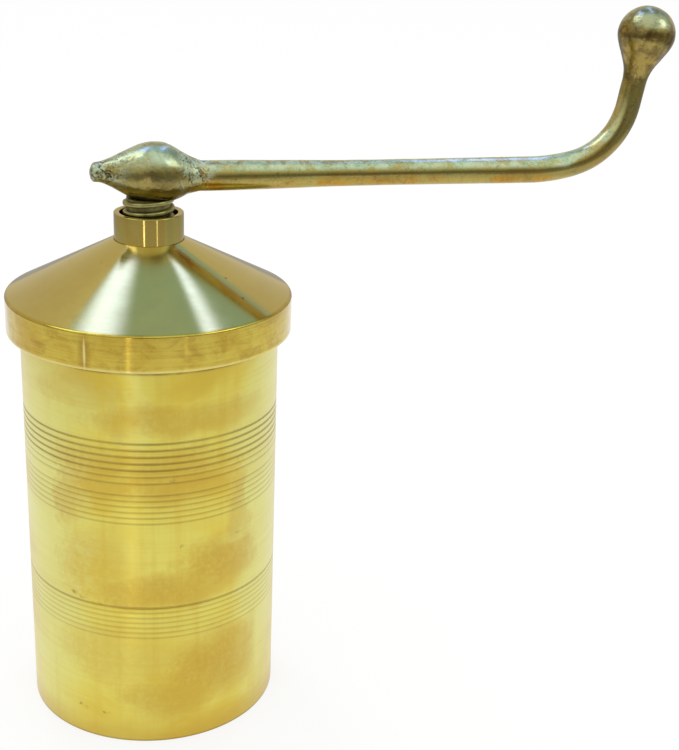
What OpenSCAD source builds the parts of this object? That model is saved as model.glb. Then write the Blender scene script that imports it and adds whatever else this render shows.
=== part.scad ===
// Hand cranked sev press: a brass barrel over a pierced die, a conical cap that closes it,
// and a crank whose screw runs through the cap and drives a presser down the barrel.
// Millimetres, +Z up. The origin is the centre of the bottom opening, and the crank's arm lies along +X.

/* [Barrel] */
// Outer diameter of the barrel
barrel_d = 68.4; // [60:0.5:80]
// Wall thickness of the barrel
barrel_wall = 3; // [2.6:0.1:5]
// Height of the barrel from its base to the shoulder under the cap
barrel_h = 108.2; // [90:0.1:150]
// Width of the inner lip that carries the die
lip_w = 3; // [2:0.1:6]
// Thickness of the inner lip
lip_t = 3; // [2:0.1:6]
// Chamfer of the bottom edge
base_chamfer = 0.6; // [0.2:0.1:1.2]

/* [Barrel neck] */
// Height of the threaded neck above the shoulder
neck_h = 8.8; // [7:0.1:14]
// Radial step from the barrel's outside to the crest of the neck thread
neck_step = 0.4; // [0.2:0.1:0.8]
// Depth of the neck thread
neck_depth = 0.8; // [0.5:0.1:1.1]
// Pitch of the neck thread
neck_pitch = 2; // [1.5:0.1:2.5]
// Plain height above the neck thread
neck_plain = 0.6; // [0.2:0.1:1.2]

/* [Turned grooves] */
// Width of a groove at the surface
groove_w = 0.9; // [0.5:0.1:1.2]
// Depth of a groove
groove_depth = 0.28; // [0.1:0.02:0.6]
// Grooves in the upper band
upper_count = 7; // [1:1:8]
// Distance from the shoulder down to the upper band
upper_drop = 19.7; // [8:0.1:22]
// Spacing of the upper band
upper_pitch = 1.83; // [1.3:0.01:2]
// Grooves in the middle band
middle_count = 6; // [1:1:8]
// Distance from the shoulder down to the middle band
middle_drop = 34; // [32:0.1:42]
// Spacing of the middle band
middle_pitch = 1.6; // [1.3:0.01:2]
// Grooves in the lower band
lower_count = 7; // [1:1:8]
// Distance from the shoulder down to the lower band
lower_drop = 66.7; // [56:0.1:70]
// Spacing of the lower band
lower_pitch = 1.5; // [1.3:0.01:2]

/* [Die] */
// Thickness of the die
die_t = 2.5; // [1.5:0.1:5]
// Radial clearance of the die in the barrel
die_clear = 0.3; // [0.1:0.05:1]
// Diameter of a sev hole
die_hole_d = 2.4; // [1:0.1:4]
// Distance between the rings of holes
die_ring_pitch = 4.8; // [4.5:0.1:8]
// Plain margin between the outer holes and the lip
die_margin = 1.5; // [0.5:0.1:4]

/* [Presser] */
// Thickness of the presser's disc
presser_t = 5; // [4:0.1:10]
// Radial clearance of the presser in the barrel
presser_clear = 0.5; // [0.3:0.05:1]
// Gap between the presser and the die when the screw is run down
presser_rest = 0.3; // [0.2:0.05:5]
// Diameter of the presser's boss
boss_d = 20; // [18:0.5:30]
// Height of the boss above the disc
boss_h = 9.2; // [5:0.1:15]

/* [Swivel] */
// Diameter of the screw's tail, on which the presser turns
journal_d = 8; // [6.5:0.1:9]
// Radial running clearance on the tail
journal_clear = 0.06; // [0.03:0.01:0.1]
// Thickness of the two washers
washer_t = 1.2; // [0.8:0.1:2.5]
// Diameter of the thrust washer on the boss
thrust_d = 16; // [13:0.5:18]
// Diameter of the retaining washer under the boss
retainer_d = 15; // [12:0.5:20]
// Radial room round the retaining washer
recess_clear = 1; // [0.4:0.1:3]
// End float of the presser on the tail
end_float = 0.1; // [0.05:0.05:0.3]
// Diameter of the retaining screw's head
head_d = 9; // [7:0.1:11]
// Height of the retaining screw's head
head_h = 1.6; // [1.4:0.1:3]
// How far the head sits above the presser's face
head_sink = 0.3; // [0.1:0.1:2]
// Width of the slot in the head
slot_w = 1; // [0.6:0.1:1.6]
// Depth of the slot in the head
slot_depth = 0.8; // [0.4:0.1:1.2]
// Diameter of the retaining screw's shank
shank_d = 4.2; // [3:0.1:5]
// Length of the retaining screw's shank above the washer
shank_len = 9; // [5:0.5:11]

/* [Cap] */
// Gap between the barrel's shoulder and the cap's rim
rim_gap = 0.3; // [0.1:0.1:1]
// Radial clearance of the cap over the neck thread
neck_clear = 0.3; // [0.2:0.05:0.6]
// Wall thickness of the cap's rim
skirt_wall = 3.6; // [2.5:0.1:6]
// Height of the rim's upper edge above the barrel's top
cap_crown = 1; // [0.5:0.1:4]
// Height of the cone
cone_h = 14.6; // [10:0.1:25]
// Wall thickness of the cone
cap_wall = 3; // [2:0.1:4]
// Chamfer of the rim's edges
rim_chamfer = 0.4; // [0.1:0.1:1]

/* [Screw] */
// Outer diameter of the screw
screw_d = 13.4; // [12:0.1:16]
// Depth of the screw's thread
thread_depth = 0.95; // [0.6:0.05:1.1]
// Pitch of the screw's thread, right-handed with one start
thread_pitch = 2.54; // [2:0.01:3.5]
// Radial clearance between the screw and its nut
thread_clear = 0.25; // [0.2:0.01:0.4]
// Axial clearance on each flank of the thread
flank_clear = 0.15; // [0.1:0.01:0.25]
// Angle about the screw at which its thread starts
thread_phase = 139; // [0:1:359]
// Radial step from the thread's root to the tenon in the crank's hub
tenon_step = 0.45; // [0.2:0.05:1]
// Length of the tenon in the crank's hub
tenon_len = 8; // [5:0.5:9]

/* [Screw nut] */
// Height of the collar above the cone
collar_h = 7; // [5:0.1:15]
// Wall thickness of the collar round its mouth
collar_wall = 1.5; // [1:0.1:4]
// Radial room round the screw in the collar's mouth
mouth_clear = 0.9; // [0.6:0.1:2]
// Depth of the collar's mouth
mouth_depth = 4.6; // [2:0.1:6]
// Width of the flange under the cap
flange_w = 3.2; // [2:0.1:5]
// Thickness of the flange
flange_t = 3; // [2:0.1:6]
// Depth of the recess where the thread starts, under the flange
entry_depth = 1.5; // [0.8:0.1:2.5]

/* [Crank hub] */
// Gap between the collar and the hub when the screw is run down
hub_gap = 3.8; // [2:0.1:10]
// Largest diameter of the hub
hub_d = 16.2; // [15:0.1:20]
// Height of the hub's axis above its flat underside
hub_rise = 6; // [5.5:0.1:7]
// Distance from the screw's axis to the widest place of the hub
hub_offset = 2.1; // [0:0.1:4]
// Slope of the hub's axis, down towards the arm
hub_tilt = 2.5; // [0:0.5:5]
// Distance from the screw's axis to the tip of the nose
nose_len = 14.9; // [13:0.1:20]
// How soon the nose swells to the hub's full width, sooner under 1
nose_swell = 0.85; // [0.6:0.05:1.4]
// Length of the rounded tip of the nose
nose_tip = 1.3; // [0.8:0.1:2]
// Diameter of the nose
nose_d = 5; // [3:0.1:7]
// Distance from the screw's axis to the end that takes the arm
hub_reach = 14.5; // [14:0.1:18]
// Width of the hub's rim round the arm
hub_lip = 0.1; // [0.05:0.05:0.5]

/* [Crank arm] */
// Diameter of the arm
arm_d = 7; // [6:0.1:9]
// Radial growth of the arm at the hub
arm_swell = 0.45; // [0.05:0.05:0.6]
// Length over which the arm thins from the hub
arm_taper = 45; // [20:1:60]
// Length of the straight part of the arm
arm_straight = 89.5; // [70:0.5:130]
// Slope of the straight part, up from the hub
arm_slope = 0.3; // [0:0.1:2]
// Radius of the gentle start of the bend
sweep_r = 50; // [30:1:80]
// Angle of the gentle start of the bend
sweep_turn = 14.5; // [5:0.5:20]
// Radius of the bend
bend_r = 20; // [15:0.1:30]
// Angle of the bend
bend_turn = 66.1; // [55:0.1:70]
// Straight length between the bend and the knob
stem_len = 5.6; // [2:0.1:20]
// Radial step from the arm to the tenons at its ends
arm_step = 0.4; // [0.2:0.1:1]
// Length of the tenons at the arm's ends
arm_tenon_len = 6; // [4:0.5:7]

/* [Knob] */
// Largest diameter of the knob
knob_d = 15.4; // [13:0.1:24]
// Height of the knob's widest place above the stem
knob_rise = 13.4; // [10:0.1:20]
// Height of the knob's top above its widest place
knob_crown = 7.5; // [6:0.05:12]
// How late the knob swells from the stem, later over 1
knob_swell = 1.2; // [0.8:0.05:1.6]

/* [Hidden] */
// Smoothness of round faces
$fn = 96;
// Steps in a turn of the screw's thread and of the neck thread
screw_facets = 18;
neck_facets = 48;
// Share of the pitch taken by a thread's flank, and by its crest
flank_share = 0.2;
crest_share = 0.23;
// Part of a turn over which a thread rises from its root and runs out into it again
runout_turn = 0.25;
// Steps along a curved profile, and round the quarter of an ellipse at a round end
profile_steps = 24;
round_steps = 6;
// How far a cut runs past the face that it opens
past = 1;
// Depth to which the neck thread is sunk into the barrel
sink = 0.12;
// Height of the round marks where the arm was forged from one curve to the next
forge_mark = 0.02;

// Heights and radii of the barrel
barrel_r = barrel_d / 2;
bore_r = barrel_r - barrel_wall;
outlet_r = bore_r - lip_w;
neck_r = barrel_r - neck_step;
neck_root_r = neck_r - neck_depth;
seat_z = barrel_h + neck_h;
bands = [
  [upper_count, upper_drop, upper_pitch],
  [middle_count, middle_drop, middle_pitch],
  [lower_count, lower_drop, lower_pitch]
];

// Die, presser and swivel, stacked from the lip upwards
die_r = bore_r - die_clear;
die_rings = floor((outlet_r - die_hole_d / 2 - die_margin) / die_ring_pitch);
presser_r = bore_r - presser_clear;
presser_z = lip_t + die_t + presser_rest;
boss_z = presser_z + presser_t + boss_h;
head_z = presser_z + head_sink;
retainer_z = head_z + head_h;
tail_z = retainer_z + washer_t;
recess_z = tail_z + end_float;
shoulder_z = boss_z + washer_t;

// Cap and screw nut
skirt_r = neck_r + neck_clear;
cap_r = skirt_r + skirt_wall;
rim_z = barrel_h + rim_gap;
rim_top_z = seat_z + cap_crown;
screw_r = screw_d / 2;
root_r = screw_r - thread_depth;
mouth_r = screw_r + mouth_clear;
collar_r = mouth_r + collar_wall;
flange_r = collar_r + flange_w;
cone_slope = cone_h / (cap_r - collar_r);
cone_top_z = rim_top_z + cone_h;
cone_drop = cap_wall * sqrt(1 + cone_slope * cone_slope);
flange_z = inner_z(flange_r);
nut_z = flange_z - flange_t;
collar_z = cone_top_z + collar_h;

// Crank
hub_z = collar_z + hub_gap;
hub_axis_z = hub_z + hub_rise;
hub_r = hub_d / 2;
arm_r = arm_d / 2;
arm_root_r = arm_r + arm_swell;
arm_tenon_r = arm_r - arm_step;
hub_end_r = arm_root_r + hub_lip;

// The screw's helix starts just above the thrust washer and runs on past the hub's underside, which
// cuts it off. The nut's helix is the same one, from a whole number of turns further up.
thread_z = shoulder_z + 2 * flank_clear;
thread_turns = ceil((hub_z - thread_z) / thread_pitch) + 1;
thread_high_z = thread_z + (thread_turns + 1) * thread_pitch;
nut_skip = floor((nut_z - thread_z) / thread_pitch) - 1;
nut_turns = ceil((collar_z - nut_z) / thread_pitch) + 1;
nut_thread_z = thread_z + nut_skip * thread_pitch;

// The arm's centre line as points [x, z], and its direction at each
arm_p0 = [hub_reach, hub_axis_z - hub_reach * tan(hub_tilt)];
arm_p1 = ahead(arm_p0, arm_slope, arm_taper);
arm_p2 = ahead(arm_p0, arm_slope, arm_straight);
arm_p3 = arc_end(arm_p2, arm_slope, sweep_r, sweep_turn);
bend_a = arm_slope + sweep_turn;
arm_p4 = arc_end(arm_p3, bend_a, bend_r, bend_turn);
stem_a = bend_a + bend_turn;
arm_p5 = ahead(arm_p4, stem_a, stem_len);

// Height of the cone's inner face at a radius
function inner_z(r) = rim_top_z + (cap_r - r) * cone_slope - cone_drop;

// Point ahead of p by a length, in the direction a
function ahead(p, a, length) = p + length * [cos(a), sin(a)];

// End of an arc that leaves p in the direction a and turns upwards
function arc_end(p, a, r, turn) = p + r * [sin(a + turn) - sin(a), cos(a) - cos(a + turn)];

// Smooth rise from 0 to 1, early where the power is under 1
function swell(t, power = 1) = (1 - cos(180 * pow(t, power))) / 2;

// Profile of a round end, from its widest place to its tip: points [radius, distance along the axis]
function quarter(r, length) = [
  for (i = [0:round_steps]) let (a = 90 * i / round_steps) [r * cos(a), length * sin(a)]
];

// Share of the full depth at a step of a thread, which rises and runs out at its ends
function runout(s, steps, facets) = min(1, min(s, steps - s) / (runout_turn * facets));

// Threaded rod, or a threaded sleeve where inner_r is over 0. The helix starts at z = start and
// has a flat crest; grow widens the crest on both sides. Plain ends reach from low to high.
module threaded(r, depth, pitch, turns, start, low, high, facets, grow = 0, inner_r = 0) {
  steps = turns * facets;
  rise = pitch * [0, flank_share, flank_share + crest_share, 2 * flank_share + crest_share];
  widen = grow * [-1, -1, 1, 1];
  crest = [0, 1, 1, 0];
  function around(radius, s, z) = [radius * cos(360 * s / facets), radius * sin(360 * s / facets), z];
  function ring(radius, z) = [for (u = [0:facets - 1]) around(radius, u, z)];
  helix = [
    for (s = [0:steps]) for (j = [0:3])
      let (out = depth * crest[j] * runout(s, steps, facets), climb = pitch * s / facets)
        around(r + out, s, start + climb + rise[j] + widen[j])
  ];
  n = len(helix);
  last = steps - facets;
  function at(s, j) = 4 * s + j;
  function foot(u) = n + u % facets;
  function head(u) = n + facets + u % facets;
  function inner_foot(u) = n + 2 * facets + u % facets;
  function inner_head(u) = n + 3 * facets + u % facets;
  function quad(a, b, c, d) = [[a, b, c], [a, c, d]];
  flanks = [
    for (s = [0:steps - 1]) for (j = [0:2])
      each quad(at(s, j), at(s, j + 1), at(s + 1, j + 1), at(s + 1, j))
  ];
  roots = [
    for (s = [0:last - 1])
      each quad(at(s, 3), at(s + facets, 0), at(s + facets + 1, 0), at(s + 1, 3))
  ];
  first_row = [for (s = [0:facets - 2]) each quad(foot(s), at(s, 0), at(s + 1, 0), foot(s + 1))];
  first_seam = [foot(facets - 1), foot(0), at(0, 0), at(0, 1), at(0, 2), at(0, 3), at(facets, 0)];
  first_fan = [for (i = [0:5]) [at(facets - 1, 0), first_seam[i + 1], first_seam[i]]];
  last_row = [
    for (u = [1:facets - 1])
      each quad(at(last + u, 3), head(u), head(u + 1), at(last + u + 1, 3))
  ];
  last_seam = [head(1), head(0), at(steps, 3), at(steps, 2), at(steps, 1), at(steps, 0), at(last, 3)];
  last_fan = [for (i = [0:5]) [at(last + 1, 3), last_seam[i + 1], last_seam[i]]];
  ends = [[for (u = [0:facets - 1]) foot(u)], [for (u = [facets - 1:-1:0]) head(u)]];
  tube = [
    for (u = [0:facets - 1]) each concat(
      quad(foot(u), foot(u + 1), inner_foot(u + 1), inner_foot(u)),
      quad(inner_foot(u), inner_foot(u + 1), inner_head(u + 1), inner_head(u)),
      quad(inner_head(u), inner_head(u + 1), head(u + 1), head(u))
    )
  ];
  points = concat(helix, ring(r, low), ring(r, high));
  faces = concat(flanks, roots, first_row, first_fan, last_row, last_fan);
  if (inner_r > 0) polyhedron(concat(points, ring(inner_r, low), ring(inner_r, high)), concat(faces, tube));
  else polyhedron(points, concat(faces, ends));
}

// The screw's thread, or with its clearances the nut's
module screw_thread(turns, lead_in, low, high, clear = 0, grow = 0) {
  rotate([0, 0, thread_phase])
    threaded(root_r + clear, thread_depth, thread_pitch, turns, lead_in, low, high, screw_facets, grow);
}

// Round bar with its axis in the XZ plane: straight from r1 to r2, or bent upwards
module bar(p, a, length, r1, r2) {
  translate([p[0], 0, p[1]]) rotate([0, 90 - a, 0]) cylinder(r1 = r1, r2 = r2, h = length);
}

module bent_bar(p, a, r, turn) {
  centre = p + r * [-sin(a), cos(a)];
  translate([centre[0], 0, centre[1]])
    rotate([90, 0, 0])
      rotate([0, 0, a - 90])
        rotate_extrude(angle = turn)
          translate([r, 0])
            circle(r = arm_r);
}

// The arm's tenons in the hub and in the knob
module hub_tenon() {
  bar(ahead(arm_p0, arm_slope, -arm_tenon_len), arm_slope, arm_tenon_len + past, arm_tenon_r, arm_tenon_r);
}

module knob_tenon() {
  bar(ahead(arm_p5, stem_a, -past), stem_a, arm_tenon_len + past, arm_tenon_r, arm_tenon_r);
}

module barrel() {
  color("goldenrod") union() {
    difference() {
      rotate_extrude() polygon([
        [outlet_r, 0], [barrel_r - base_chamfer, 0], [barrel_r, base_chamfer], [barrel_r, barrel_h],
        [neck_root_r - sink, barrel_h], [neck_root_r - sink, seat_z], [bore_r, seat_z],
        [bore_r, lip_t], [outlet_r, lip_t]
      ]);
      for (band = bands) for (i = [0:band[0] - 1])
        translate([0, 0, barrel_h - band[1] - i * band[2]])
          rotate_extrude() polygon([
            [barrel_r - groove_depth, 0],
            [barrel_r + groove_depth, -groove_w],
            [barrel_r + groove_depth, groove_w]
          ]);
    }
    neck_thread();
  }
}

module neck_thread() {
  low = barrel_h - sink;
  high = seat_z - neck_plain;
  profile_h = neck_pitch * (2 * flank_share + crest_share);
  turns = floor((high - low - profile_h - 2 * sink) / neck_pitch);
  threaded(neck_root_r, neck_depth, neck_pitch, turns, low + 2 * sink, low, high, neck_facets,
    inner_r = (bore_r + neck_root_r) / 2);
}

module die_plate() {
  color("gold") translate([0, 0, lip_t]) difference() {
    cylinder(r = die_r, h = die_t);
    translate([0, 0, -past]) cylinder(d = die_hole_d, h = die_t + 2 * past);
    for (k = [1:die_rings]) for (i = [0:6 * k - 1])
      rotate([0, 0, 60 * i / k])
        translate([k * die_ring_pitch, 0, -past])
          cylinder(d = die_hole_d, h = die_t + 2 * past);
  }
}

module cap() {
  flat_r = min(bore_r, cap_r - (seat_z + cone_drop - rim_top_z) / cone_slope);
  color("goldenrod") rotate_extrude() polygon([
    [skirt_r, rim_z], [cap_r - rim_chamfer, rim_z], [cap_r, rim_z + rim_chamfer],
    [cap_r, rim_top_z - rim_chamfer], [cap_r - rim_chamfer, rim_top_z + rim_chamfer * cone_slope],
    [collar_r, cone_top_z], [collar_r, flange_z], [flange_r, flange_z],
    [flat_r, inner_z(flat_r)], [flat_r, seat_z], [skirt_r, seat_z]
  ]);
}

module screw_nut() {
  color("darkgoldenrod") difference() {
    union() {
      translate([0, 0, nut_z]) cylinder(r = collar_r, h = collar_z - nut_z);
      translate([0, 0, nut_z]) cylinder(r = flange_r, h = flange_t);
    }
    translate([0, 0, collar_z - mouth_depth]) cylinder(r = mouth_r, h = mouth_depth + past);
    translate([0, 0, nut_z - past]) cylinder(r = mouth_r, h = entry_depth + past);
    screw_thread(nut_turns, nut_thread_z, nut_thread_z - thread_pitch,
      nut_thread_z + (nut_turns + 2) * thread_pitch, thread_clear, flank_clear);
  }
}

module screw_spindle() {
  color("peru") difference() {
    union() {
      intersection() {
        screw_thread(thread_turns, thread_z, shoulder_z, thread_high_z);
        translate([0, 0, shoulder_z - past]) cylinder(r = mouth_r, h = hub_z - shoulder_z + past);
      }
      translate([0, 0, hub_z - past]) cylinder(r = root_r - tenon_step, h = tenon_len + past);
      translate([0, 0, tail_z]) cylinder(d = journal_d, h = shoulder_z - tail_z + past);
    }
    translate([0, 0, tail_z - past]) cylinder(d = shank_d, h = shank_len + past);
  }
}

module presser_disc() {
  color("gold") difference() {
    union() {
      translate([0, 0, presser_z]) cylinder(r = presser_r, h = presser_t);
      translate([0, 0, presser_z]) cylinder(d = boss_d, h = boss_z - presser_z);
    }
    translate([0, 0, presser_z - past])
      cylinder(r = journal_d / 2 + journal_clear, h = boss_z - presser_z + 2 * past);
    translate([0, 0, presser_z - past])
      cylinder(r = retainer_d / 2 + recess_clear, h = recess_z - presser_z + past);
  }
}

module washer(d, bore_radius, z) {
  translate([0, 0, z]) difference() {
    cylinder(d = d, h = washer_t);
    translate([0, 0, -past]) cylinder(r = bore_radius, h = washer_t + 2 * past);
  }
}

module thrust_washer() {
  color("khaki") washer(thrust_d, journal_d / 2 + journal_clear, boss_z);
}

module retaining_washer() {
  color("khaki") washer(retainer_d, shank_d / 2, retainer_z);
}

module retaining_screw() {
  color("silver") difference() {
    union() {
      translate([0, 0, head_z]) cylinder(d = head_d, h = head_h);
      translate([0, 0, head_z]) cylinder(d = shank_d, h = head_h + washer_t + shank_len);
    }
    translate([-head_d, -slot_w / 2, head_z - past]) cube([2 * head_d, slot_w, slot_depth + past]);
  }
}

module crank_hub() {
  tip_x = nose_tip - nose_len;
  tip = quarter(nose_d / 2, nose_tip);
  rounded_tip = [for (i = [round_steps:-1:1]) [tip[i][0], tip_x - tip[i][1]]];
  nose_side = [
    for (i = [0:profile_steps])
      let (t = i / profile_steps)
        [nose_d / 2 + (hub_r - nose_d / 2) * swell(t, nose_swell), tip_x + (hub_offset - tip_x) * t]
  ];
  arm_side = [
    for (i = [1:profile_steps])
      let (t = i / profile_steps)
        [hub_r + (hub_end_r - hub_r) * swell(t), hub_offset + (hub_reach - hub_offset) * t]
  ];
  arm_end = [[hub_end_r, hub_reach + past], [0, hub_reach + past]];
  color("peru") difference() {
    translate([0, 0, hub_axis_z])
      rotate([0, 90 + hub_tilt, 0])
        rotate_extrude() polygon(concat(rounded_tip, nose_side, arm_side, arm_end));
    translate([-2 * nose_len, -hub_d, hub_z - 2 * hub_d]) cube([4 * nose_len, 2 * hub_d, 2 * hub_d]);
    translate([0, 0, hub_z - past]) cylinder(r = root_r - tenon_step, h = tenon_len + past);
    hub_tenon();
    bar(arm_p0, arm_slope, hub_d, hub_d, hub_d);
  }
}

module crank_arm() {
  color("peru") union() {
    hub_tenon();
    bar(arm_p0, arm_slope, arm_taper, arm_root_r, arm_r);
    bar(arm_p1, arm_slope, arm_straight - arm_taper, arm_r, arm_r);
    bent_bar(arm_p2, arm_slope, sweep_r, sweep_turn);
    bent_bar(arm_p3, bend_a, bend_r, bend_turn);
    bar(arm_p4, stem_a, stem_len, arm_r, arm_r);
    for (p = [arm_p1, arm_p2, arm_p3, arm_p4]) translate([p[0], 0, p[1]]) sphere(r = arm_r + forge_mark);
    knob_tenon();
  }
}

module crank_knob() {
  rise = [
    for (i = [0:profile_steps])
      let (t = i / profile_steps)
        [arm_r + (knob_d / 2 - arm_r) * swell(t, knob_swell), knob_rise * t]
  ];
  crown = quarter(knob_d / 2, knob_crown);
  top = [for (i = [1:round_steps]) [crown[i][0], knob_rise + crown[i][1]]];
  color("peru") difference() {
    translate([arm_p5[0], 0, arm_p5[1]])
      rotate([0, 90 - stem_a, 0])
        rotate_extrude() polygon(concat([[0, 0]], rise, top));
    knob_tenon();
  }
}

barrel();
die_plate();
cap();
screw_nut();
screw_spindle();
presser_disc();
thrust_washer();
retaining_washer();
retaining_screw();
crank_hub();
crank_arm();
crank_knob();
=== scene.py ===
import math
from types import SimpleNamespace
import bpy
from mathutils import Matrix, Vector


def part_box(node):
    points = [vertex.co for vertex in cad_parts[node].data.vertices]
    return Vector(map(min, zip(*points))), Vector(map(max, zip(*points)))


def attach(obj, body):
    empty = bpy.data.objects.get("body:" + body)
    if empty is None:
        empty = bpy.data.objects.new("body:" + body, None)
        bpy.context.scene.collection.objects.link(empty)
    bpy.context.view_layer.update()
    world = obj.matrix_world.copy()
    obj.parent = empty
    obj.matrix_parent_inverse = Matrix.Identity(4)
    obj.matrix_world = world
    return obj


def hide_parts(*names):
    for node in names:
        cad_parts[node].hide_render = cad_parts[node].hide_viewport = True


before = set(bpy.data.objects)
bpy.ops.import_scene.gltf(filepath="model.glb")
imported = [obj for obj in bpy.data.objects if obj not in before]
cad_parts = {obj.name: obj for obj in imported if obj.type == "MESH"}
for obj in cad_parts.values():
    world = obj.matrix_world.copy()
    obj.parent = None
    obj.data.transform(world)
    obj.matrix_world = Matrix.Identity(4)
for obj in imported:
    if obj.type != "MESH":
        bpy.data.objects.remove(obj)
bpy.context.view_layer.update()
mm = 0.001
weldGap = 0.002 * mm
print("frame loaded:", len(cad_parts), "nodes")

cameraView = SimpleNamespace(
    place=(-31.48, -346.59, 226.66),  # mm, in front of the barrel, a little to its left
    target=(52.72, 0, 91.42),  # mm, the middle of the picture
    roll=2.24,  # degrees
    lens=65.11,
    sensor=36,
)


def placeCamera(view):
    data = bpy.data.cameras.new("camera")
    data.lens = view.lens
    data.sensor_width = view.sensor
    camera = bpy.data.objects.new("camera", data)
    bpy.context.scene.collection.objects.link(camera)
    place = Vector(view.place) * mm
    aim = (Vector(view.target) * mm - place).to_track_quat("-Z", "Y").to_matrix()
    turned = aim @ Matrix.Rotation(math.radians(view.roll), 3, "Z")
    camera.matrix_world = Matrix.Translation(place) @ turned.to_4x4()
    bpy.context.scene.camera = camera


placeCamera(cameraView)
print("camera placed")


# Modelling helpers

def deselectAll():
    if bpy.context.object and bpy.context.object.mode != "OBJECT":
        bpy.ops.object.mode_set(mode="OBJECT")
    bpy.ops.object.select_all(action="DESELECT")


def pickOnly(piece):
    deselectAll()
    piece.select_set(True)
    bpy.context.view_layer.objects.active = piece


def editAll():
    bpy.ops.object.mode_set(mode="EDIT")
    bpy.ops.mesh.select_all(action="SELECT")


def faceOutward():
    # turns all faces outward and ends the editing
    bpy.ops.mesh.select_all(action="SELECT")
    bpy.ops.mesh.normals_make_consistent(inside=False)
    bpy.ops.object.mode_set(mode="OBJECT")


def tidyMesh():
    bpy.ops.mesh.select_all(action="SELECT")
    bpy.ops.mesh.remove_doubles(threshold=weldGap)


def drawOutline(name, points, close=False):
    # a small plane merged to one vertex, then drawn out from point to point
    deselectAll()
    bpy.ops.mesh.primitive_plane_add(size=mm, location=points[0])
    piece = bpy.context.object
    piece.name = piece.data.name = name
    bpy.ops.object.transform_apply(location=True)
    editAll()
    bpy.ops.mesh.merge(type="CENTER")
    path = list(points) + ([points[0]] if close else [])
    for here, there in zip(path, path[1:]):
        bpy.ops.mesh.extrude_region_move(TRANSFORM_OT_translate={"value": there - here})
    tidyMesh()
    return piece


def standing(outline, phase):
    # an outline of (radius, height) in mm stood up on the Z axis, phase degrees round it
    a = math.radians(phase)
    return [Vector((r * math.cos(a), r * math.sin(a), z)) * mm for r, z in outline]


def spinOutline(piece, steps, center=(0, 0, 0), axis=(0, 0, 1)):
    bpy.ops.mesh.select_all(action="SELECT")
    bpy.ops.mesh.spin(steps=steps, angle=2 * math.pi, center=center, axis=axis)
    tidyMesh()
    faceOutward()
    return piece


def lathe(name, outline, steps, phase=0):
    # outline holds (radius, height) in mm, round the Z axis
    return spinOutline(drawOutline(name, standing(outline, phase), close=True), steps)


def latheAlong(name, outline, steps, center, angle):
    # outline holds (radius, distance) in mm, round an axis that rises towards X by an angle in degrees
    a = math.radians(angle)
    along = Vector((math.cos(a), 0, math.sin(a)))
    across = Vector((-math.sin(a), 0, math.cos(a)))
    points = [(center + along * u + across * r) * mm for r, u in outline]
    return spinOutline(drawOutline(name, points), steps, center * mm, along)


def applyModifier(piece, kind, **settings):
    modifier = piece.modifiers.new(kind.lower(), kind)
    for key, value in settings.items():
        setattr(modifier, key, value)
    pickOnly(piece)
    bpy.ops.object.modifier_apply(modifier=modifier.name)


def softenEdges(piece, shape, segments=3):
    # only edges sharper than the angle
    applyModifier(piece, "BEVEL", width=shape.edge * mm, segments=segments, limit_method="ANGLE",
                  angle_limit=math.radians(shape.edgeAngle))


def smoothFaces(piece, angle):
    pickOnly(piece)
    bpy.ops.object.shade_smooth_by_angle(angle=math.radians(angle))
    applyModifier(piece, "WEIGHTED_NORMAL", keep_sharp=True)


def combine(piece, other, operation):
    # unites the piece with another, or trims it by that one, which is then thrown away
    applyModifier(piece, "BOOLEAN", object=other, operation=operation, solver="EXACT")
    bpy.data.objects.remove(other)


def cutBelow(piece, height):
    # throws away what lies below a height in mm and closes the cut
    pickOnly(piece)
    editAll()
    bpy.ops.mesh.bisect(plane_co=(0, 0, height * mm), plane_no=(0, 0, 1), use_fill=True, clear_inner=True)
    bpy.ops.object.mode_set(mode="OBJECT")


def wind(name, outline, pitch, turns, steps, phase):
    # winds an outline of (radius, height) in mm up a right-hand helix and closes its ends
    piece = drawOutline(name, standing(outline, phase), close=True)
    bpy.ops.object.mode_set(mode="OBJECT")
    applyModifier(piece, "SCREW", axis="Z", angle=2 * math.pi, screw_offset=pitch * mm, iterations=turns,
                  steps=steps, render_steps=steps, use_merge_vertices=True, merge_threshold=weldGap)
    bpy.ops.object.mode_set(mode="EDIT")
    tidyMesh()
    bpy.ops.mesh.select_all(action="DESELECT")
    bpy.ops.mesh.select_mode(type="EDGE")
    bpy.ops.mesh.select_non_manifold()
    bpy.ops.mesh.fill_holes(sides=0)
    bpy.ops.mesh.select_mode(type="VERT")
    faceOutward()
    # a helix has skewed quads, which are cut cleanly only as triangles
    applyModifier(piece, "TRIANGULATE")
    return piece


def dress(piece, shape, node, body, material):
    # smooths a piece and puts it in the place of a node
    smoothFaces(piece, shape.smoothAngle)
    piece.data.materials.clear()
    piece.data.materials.append(material)
    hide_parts(node)
    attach(piece, body)
    print("made", piece.name, "for", node, "with", len(piece.data.polygons), "faces")


# Shader helpers

class Wire:
    def __init__(self, tree, socket=None):
        self.tree = tree
        self.socket = socket

    def node(self, kind, settings=None, sockets=None, out=0):
        made = self.tree.nodes.new(kind)
        for key, value in (settings or {}).items():
            setattr(made, key, value)
        for key, value in (sockets or {}).items():
            if isinstance(value, Wire):
                self.tree.links.new(value.socket, made.inputs[key])
            else:
                made.inputs[key].default_value = value
        return Wire(self.tree, made.outputs[out]) if made.outputs else None

    def maths(self, operation, *values):
        return self.node("ShaderNodeMath", {"operation": operation}, dict(enumerate(values)))

    def root(self):
        return self.maths("SQRT", self)

    def least(self, other):
        return self.maths("MINIMUM", self, other)

    def __add__(self, other):
        return self.maths("ADD", self, other)

    __radd__ = __add__

    def __sub__(self, other):
        return self.maths("SUBTRACT", self, other)

    def __rsub__(self, other):
        return self.maths("SUBTRACT", other, self)

    def __mul__(self, other):
        return self.maths("MULTIPLY", self, other)

    __rmul__ = __mul__

    def __truediv__(self, other):
        return self.maths("DIVIDE", self, other)


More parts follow.
